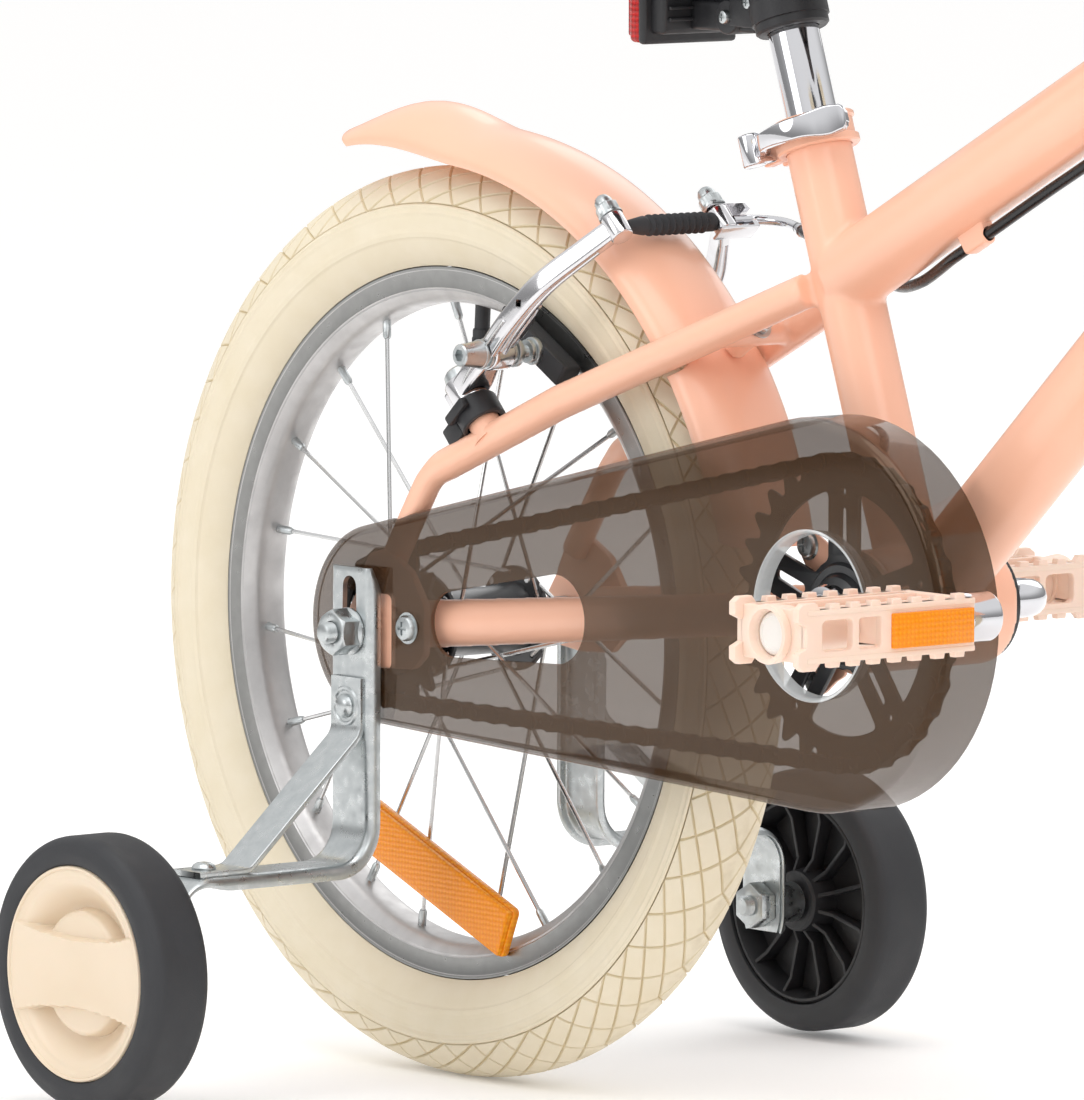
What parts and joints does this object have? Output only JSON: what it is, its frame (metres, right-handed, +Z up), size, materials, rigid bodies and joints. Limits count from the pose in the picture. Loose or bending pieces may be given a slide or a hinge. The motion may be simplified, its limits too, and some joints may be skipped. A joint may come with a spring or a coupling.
{
  "type": "kids bike",
  "caption": "Small children's bicycle with training wheels, chain case, mudguards, rim brakes, riser handlebar and padded saddle.",
  "frame": {"origin": "on the ground, midway between the two axles", "axes": "+X forwards, +Y to the rider's left, +Z up"},
  "size_m": [1.151, 0.5396, 0.7485],
  "materials": {
    "peach_paint": "satin",
    "cream_rubber": "matt",
    "cream_grip": "matt",
    "bare_alloy": "satin",
    "polished_alloy": "polished",
    "black_steel": "satin",
    "zinc": "plated",
    "chrome": "polished",
    "smoked_plastic": "clear tinted",
    "blush_plastic": "matt",
    "cream_plastic": "satin",
    "black_rubber": "matt",
    "black_plastic": "matt",
    "tan_leather": "matt",
    "amber_lens": "prismatic",
    "red_lens": "prismatic"
  },
  "bodies": {
    "chassis": {"frame": "peach_paint", "chain_guard": "smoked_plastic", "guard_bracket": "peach_paint", "guard_screw": "zinc", "rear_fender": "peach_paint", "rear_axle": "zinc", "rear_axle_nut_right": "zinc", "rear_axle_nut_left": "zinc", "training_bracket_right": "zinc", "training_bracket_left": "zinc", "seat_clamp": "peach_paint", "chain": "black_steel", "rear_brake_cable": "black_rubber", "rear_brake_boot": "black_rubber", "headset_upper_cup": "chrome", "headset_lower_cup": "chrome", "bottom_bracket_cup_right": "black_steel", "bottom_bracket_cup_left": "black_steel"},
    "rear_wheel": {"rear_tyre": "cream_rubber", "rear_rim": "bare_alloy", "rear_hub": "black_steel", "rear_wheel_reflector": "amber_lens"},
    "freewheel": {"rear_sprocket": "black_steel"},
    "crankset": {"crank": "chrome", "chainring": "black_steel"},
    "pedal_right": {"pedal_right": "blush_plastic"},
    "pedal_left": {"pedal_left": "blush_plastic"},
    "training_wheel_right": {"training_tyre_right": "black_rubber", "training_hub_right": "cream_plastic"},
    "training_wheel_left": {"training_tyre_left": "black_rubber", "training_hub_left": "cream_plastic"},
    "steering": {"fork": "peach_paint", "front_axle": "zinc", "front_fender": "peach_paint", "stem": "black_steel", "handlebar": "black_steel", "grip_right": "cream_grip", "grip_left": "cream_grip", "bell": "chrome", "front_brake_cable": "black_rubber", "front_brake_boot": "black_rubber"},
    "front_wheel": {"front_tyre": "cream_rubber", "front_rim": "bare_alloy", "front_hub": "black_steel"},
    "front_arm_right": {"front_brake_arm_right": "polished_alloy", "front_brake_pad_right": "black_rubber"},
    "front_arm_left": {"front_brake_arm_left": "polished_alloy", "front_brake_pad_left": "black_rubber"},
    "lever_right": {"brake_lever_right": "black_steel"},
    "lever_left": {"brake_lever_left": "black_steel"},
    "rear_arm_right": {"rear_brake_arm_right": "polished_alloy", "rear_brake_pad_right": "black_rubber"},
    "rear_arm_left": {"rear_brake_arm_left": "polished_alloy", "rear_brake_pad_left": "black_rubber"},
    "seat": {"seat_post": "chrome", "saddle_base": "black_plastic", "saddle_cushion": "tan_leather", "reflector_bracket": "black_plastic", "rear_reflector": "red_lens"},
    "clamp_lever": {"seat_clamp_lever": "chrome"}
  },
  "joints": [
    {"name": "rear_wheel_spin", "type": "hinge", "parent": "chassis", "child": "rear_wheel", "pos_m": [-0.3725, 0, 0.203], "axis": [0, 1, 0], "continuous": true},
    {"name": "crank_spin", "type": "hinge", "parent": "chassis", "child": "crankset", "pos_m": [-0.071, 0, 0.2335], "axis": [0, 1, 0], "continuous": true},
    {"name": "freewheel_spin", "type": "hinge", "parent": "chassis", "child": "freewheel", "pos_m": [-0.3725, 0, 0.203], "axis": [0, 1, 0], "continuous": true},
    {"name": "pedal_right_spin", "type": "hinge", "parent": "crankset", "child": "pedal_right", "pos_m": [0.0432, -0.1372, 0.2429], "axis": [0, 1, 0], "continuous": true},
    {"name": "pedal_left_spin", "type": "hinge", "parent": "crankset", "child": "pedal_left", "pos_m": [-0.1852, 0.1372, 0.2241], "axis": [0, 1, 0], "continuous": true},
    {"name": "training_right_spin", "type": "hinge", "parent": "chassis", "child": "training_wheel_right", "pos_m": [-0.3725, -0.207, 0.063], "axis": [0, 1, 0], "continuous": true},
    {"name": "training_left_spin", "type": "hinge", "parent": "chassis", "child": "training_wheel_left", "pos_m": [-0.3725, 0.207, 0.063], "axis": [0, 1, 0], "continuous": true},
    {"name": "steering", "type": "hinge", "parent": "chassis", "child": "steering", "pos_m": [0.34243, 0, 0.19206], "axis": [-0.342, 0, 0.9397], "range_deg": [-45, 45], "deforming": ["rear_brake_cable"]},
    {"name": "front_wheel_spin", "type": "hinge", "parent": "steering", "child": "front_wheel", "pos_m": [0.3725, 0, 0.203], "axis": [0, 1, 0], "continuous": true},
    {"name": "brake_lever_right_squeeze", "type": "hinge", "parent": "steering", "child": "lever_right", "pos_m": [0.22142, -0.1445, 0.71734], "axis": [0.342, 0, -0.9397], "range_deg": [0, 22], "stiffness_Nm_per_rad": 0.5, "springref_deg": -8.59, "deforming": ["rear_brake_cable", "rear_brake_boot"]},
    {"name": "brake_lever_left_squeeze", "type": "hinge", "parent": "steering", "child": "lever_left", "pos_m": [0.22142, 0.1445, 0.71734], "axis": [-0.342, 0, 0.9397], "range_deg": [0, 22], "stiffness_Nm_per_rad": 0.5, "springref_deg": -8.59, "deforming": ["front_brake_cable", "front_brake_boot"]},
    {"name": "rear_brake_right_close", "type": "hinge", "parent": "chassis", "child": "rear_arm_right", "pos_m": [-0.31828, -0.0462, 0.3111], "axis": [-0.682, 0, 0.7314], "range_deg": [0, 3.3], "deforming": ["rear_brake_cable", "rear_brake_boot"]},
    {"name": "rear_brake_left_close", "type": "hinge", "parent": "chassis", "child": "rear_arm_left", "pos_m": [-0.31828, 0.0462, 0.3111], "axis": [0.682, 0, -0.7314], "range_deg": [0, 3.3], "deforming": ["rear_brake_cable", "rear_brake_boot"]},
    {"name": "front_brake_right_close", "type": "hinge", "parent": "steering", "child": "front_arm_right", "pos_m": [0.32657, -0.0462, 0.31399], "axis": [-0.9397, 0, -0.342], "range_deg": [0, 3.3], "deforming": ["front_brake_cable", "front_brake_boot"]},
    {"name": "front_brake_left_close", "type": "hinge", "parent": "steering", "child": "front_arm_left", "pos_m": [0.32657, 0.0462, 0.31399], "axis": [0.9397, 0, 0.342], "range_deg": [0, 3.3], "deforming": ["front_brake_cable", "front_brake_boot"]},
    {"name": "seat_height", "type": "slide", "parent": "chassis", "child": "seat", "axis": [-0.3272, 0, 0.9449], "range_m": [-0.02, 0.03]},
    {"name": "clamp_lever_open", "type": "hinge", "parent": "chassis", "child": "clamp_lever", "pos_m": [-0.16166, -0.0168, 0.42381], "axis": [0.3272, 0, -0.9449], "range_deg": [0, 100]}
  ],
  "couplings": [
    {"joint": "freewheel_spin", "follows": "crank_spin", "ratio": 2},
    {"joint": "rear_brake_right_close", "follows": "brake_lever_right_squeeze", "ratio": 0.145},
    {"joint": "rear_brake_left_close", "follows": "brake_lever_right_squeeze", "ratio": 0.145},
    {"joint": "front_brake_right_close", "follows": "brake_lever_left_squeeze", "ratio": 0.145},
    {"joint": "front_brake_left_close", "follows": "brake_lever_left_squeeze", "ratio": 0.145}
  ]
}
